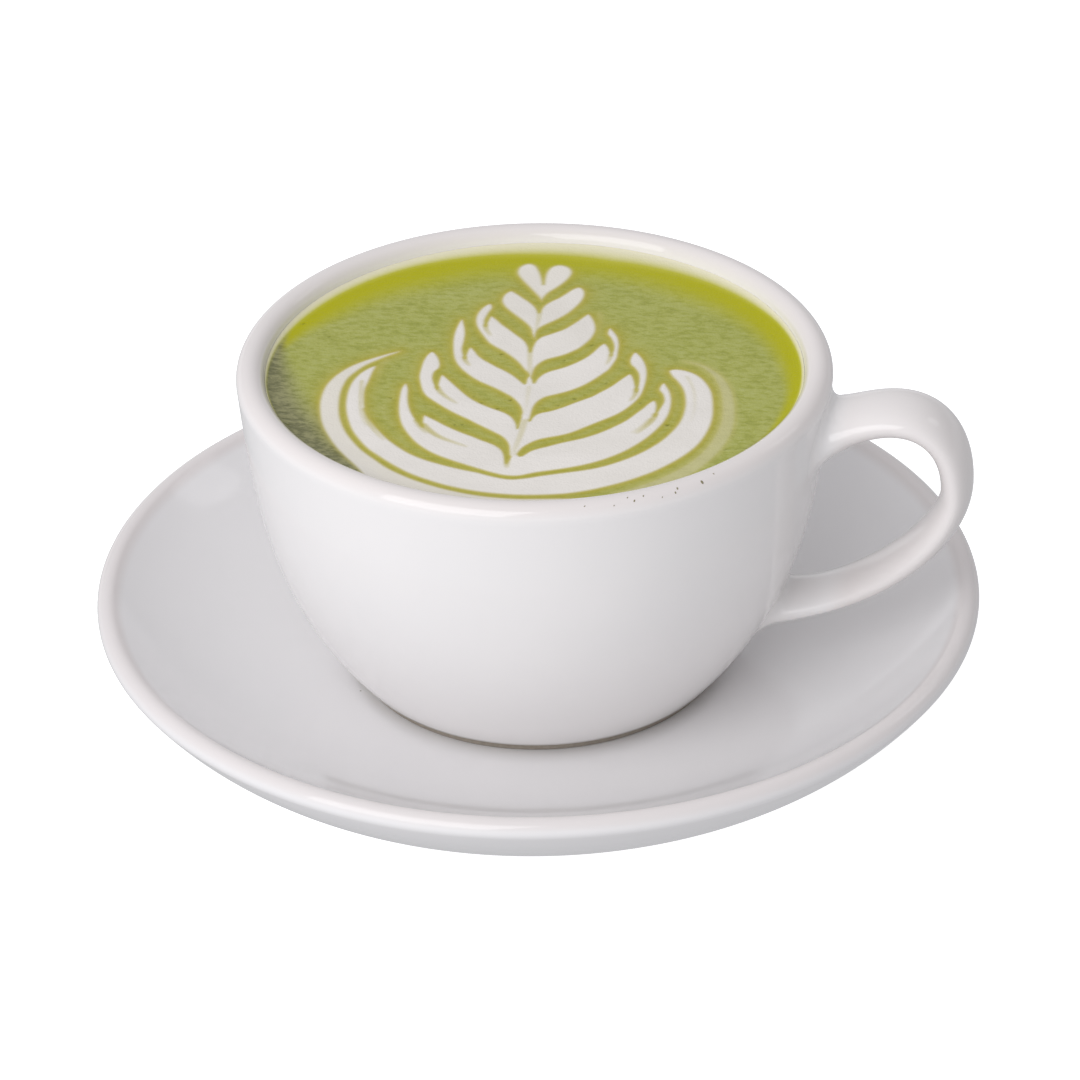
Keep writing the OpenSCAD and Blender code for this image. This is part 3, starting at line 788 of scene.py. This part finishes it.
crumb = bpy.data.materials.new("dried_matcha")
crumb.use_nodes = True
crumb_nodes, crumb_links = crumb.node_tree.nodes, crumb.node_tree.links
crumb_place = crumb_nodes.new("ShaderNodeTexCoord")
crumb_grain = crumb_nodes.new("ShaderNodeTexNoise")
crumb_grain.inputs["Scale"].default_value = 4000
crumb_links.new(crumb_place.outputs["Object"], crumb_grain.inputs["Vector"])
crumb_tint = crumb_nodes.new("ShaderNodeMix")
crumb_tint.data_type = "RGBA"
crumb_tint.inputs["A"].default_value = linear(112, 106, 78)
crumb_tint.inputs["B"].default_value = linear(150, 142, 112)
crumb_links.new(crumb_grain.outputs["Fac"], crumb_tint.inputs["Factor"])
crumb_links.new(crumb_tint.outputs["Result"], crumb_nodes["Principled BSDF"].inputs["Base Color"])
crumb_nodes["Principled BSDF"].inputs["Roughness"].default_value = 0.7

# direction from the leaf's x, place across the rounded rim (0 inside, 90 its top), length in mm
crumb_spots = [(-57.2, 128, 0.75), (-62.5, 122, 0.5), (-63.2, 136, 0.45), (-69.5, 118, 0.4),
               (-71.5, 131, 0.5), (-72.6, 112, 0.35), (-81, 124, 0.35),
               (-54, 112, 0.35), (-66, 140, 0.3), (-75.5, 136, 0.3)]
crumb_thick, crumb_slimness = 0.14, 0.6
grains = []
for turn_by, across_by, length in crumb_spots:
    clear_bench()
    bpy.ops.mesh.primitive_ico_sphere_add(subdivisions=2, radius=1)
    grain_piece = bpy.context.object
    bpy.ops.object.mode_set(mode="EDIT")
    bpy.ops.mesh.select_all(action="SELECT")
    bpy.ops.transform.resize(value=(length / 2 * MM, length * crumb_slimness / 2 * MM, crumb_thick / 2 * MM),
                             center_override=(0, 0, 0))
    bpy.ops.object.mode_set(mode="OBJECT")
    about = math.radians(turn_by) + art_turn
    lean = math.radians(90 - across_by)
    reach = (rim_r - cup_lip - cup_lip * math.sin(lean)) * MM
    height = (well_h + wall_top + cup_lip * math.cos(lean)) * MM
    put = (Matrix.Translation((reach * math.cos(about), reach * math.sin(about), height))
           @ Matrix.Rotation(about, 4, "Z") @ Matrix.Rotation(-lean, 4, "Y")
           @ Matrix.Rotation(math.radians(turn_by * 3), 4, "Z"))
    grain_piece.data.transform(put)
    grains.append(grain_piece)
clear_bench()
for grain_piece in grains:
    grain_piece.select_set(True)
bpy.context.view_layer.objects.active = grains[0]
bpy.ops.object.join()
flecks = bpy.context.object
flecks.name = flecks.data.name = "rim_flecks"
bpy.ops.object.shade_smooth()
flecks.data.materials.append(crumb)
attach(flecks, "root")

# ---------------------------------------------------------------- studio
# A plain white table in a bright tent: a broad softbox high at the left front, a
# roof that is brighter to the back left, and one small light that the saucer mirrors.

clear_bench()
bpy.ops.mesh.primitive_plane_add(size=8, location=(0, 0, -0.00005))
table = bpy.context.object
table.name = "table"
cloth = bpy.data.materials.new("table_white")
cloth.use_nodes = True
cloth_shader = cloth.node_tree.nodes["Principled BSDF"]
cloth_shader.inputs["Base Color"].default_value = (0.9, 0.9, 0.9, 1)
cloth_shader.inputs["Roughness"].default_value = 0.9
cloth_shader.inputs["Specular IOR Level"].default_value = 0
cloth_shader.inputs["Emission Color"].default_value = (1, 1, 1, 1)
cloth_shader.inputs["Emission Strength"].default_value = 0.62
table.data.materials.append(cloth)
table.visible_diffuse = table.visible_glossy = False

tent = bpy.data.worlds.new("tent")
bpy.context.scene.world = tent
tent.use_nodes = True
sky, sky_links = tent.node_tree.nodes, tent.node_tree.links
way = sky.new("ShaderNodeTexCoord")


def glow(toward, start, low, high, end=1.0):
    """Light that grows from low to high towards a direction, from a cosine of start to one of end."""
    dot = sky.new("ShaderNodeVectorMath")
    dot.operation = "DOT_PRODUCT"
    dot.inputs[1].default_value = Vector(toward).normalized()
    sky_links.new(way.outputs["Generated"], dot.inputs[0])
    ramp = sky.new("ShaderNodeMapRange")
    ramp.interpolation_type = "SMOOTHSTEP"
    for socket, v in (("From Min", start), ("From Max", end), ("To Min", low), ("To Max", high)):
        ramp.inputs[socket].default_value = v
    sky_links.new(dot.outputs["Value"], ramp.inputs["Value"])
    return ramp.outputs["Result"]


# the tent, brighter at the left front; its roof; and a bright band round it near the table
total = glow((-0.35, -0.8, 0.3), -0.2, 0.4, 0.68)
for part in (glow((-0.5, 0.45, 0.75), 0.1, 0.0, 0.31), glow((0, 0, -1), -0.15, 0.0, 0.28, -0.07),
             glow((0, 0, -1), 0.04, 0.0, -0.1, 0.22)):
    added = sky.new("ShaderNodeMath")
    added.operation = "ADD"
    sky_links.new(total, added.inputs[0])
    sky_links.new(part, added.inputs[1])
    total = added.outputs["Value"]
sky_links.new(total, sky["Background"].inputs["Strength"])
sky["Background"].inputs["Color"].default_value = (0.97, 0.975, 1, 1)


def softbox(name, place, shape, wide, high, power):
    """A flat soft light that faces the cup."""
    lamp = bpy.data.lights.new(name, "AREA")
    lamp.shape = shape
    lamp.size, lamp.size_y, lamp.energy = wide, high, power
    lamp.color = (0.98, 0.985, 1)
    obj = bpy.data.objects.new(name, lamp)
    obj.location = place
    obj.rotation_euler = (Vector((0, 0, 0.04)) - Vector(place)).to_track_quat("-Z", "Y").to_euler()
    bpy.context.scene.collection.objects.link(obj)


softbox("left_front_light", (-0.4, -0.96, 0.78), "RECTANGLE", 1.05, 1.05, 8.8)
softbox("right_back_light", (0.87, 0.79, 0.92), "ELLIPSE", 0.3, 0.42, 0.3)
bpy.context.scene.view_settings.view_transform = "Standard"

camera_turn, camera_up, camera_far = math.radians(11.5), math.radians(31.25), 0.9
aim = Matrix.Rotation(camera_turn, 3, "Z") @ Vector((0.0005, 0, 0.03155))
back = Vector((math.sin(camera_turn) * math.cos(camera_up),
               -math.cos(camera_turn) * math.cos(camera_up), math.sin(camera_up)))
right = Vector((math.cos(camera_turn), math.sin(camera_turn), 0))
above = back.cross(right)
roll = -0.016
right, above = (right * math.cos(roll) + above * math.sin(roll),
                above * math.cos(roll) - right * math.sin(roll))
lens = bpy.data.cameras.new("camera")
lens.sensor_width, lens.lens = 36, 165.45
camera = bpy.data.objects.new("camera", lens)
bpy.context.scene.collection.objects.link(camera)
camera.matrix_world = (Matrix.Translation(aim + back * camera_far)
                       @ Matrix((right, above, back)).transposed().to_4x4())
bpy.context.scene.camera = camera
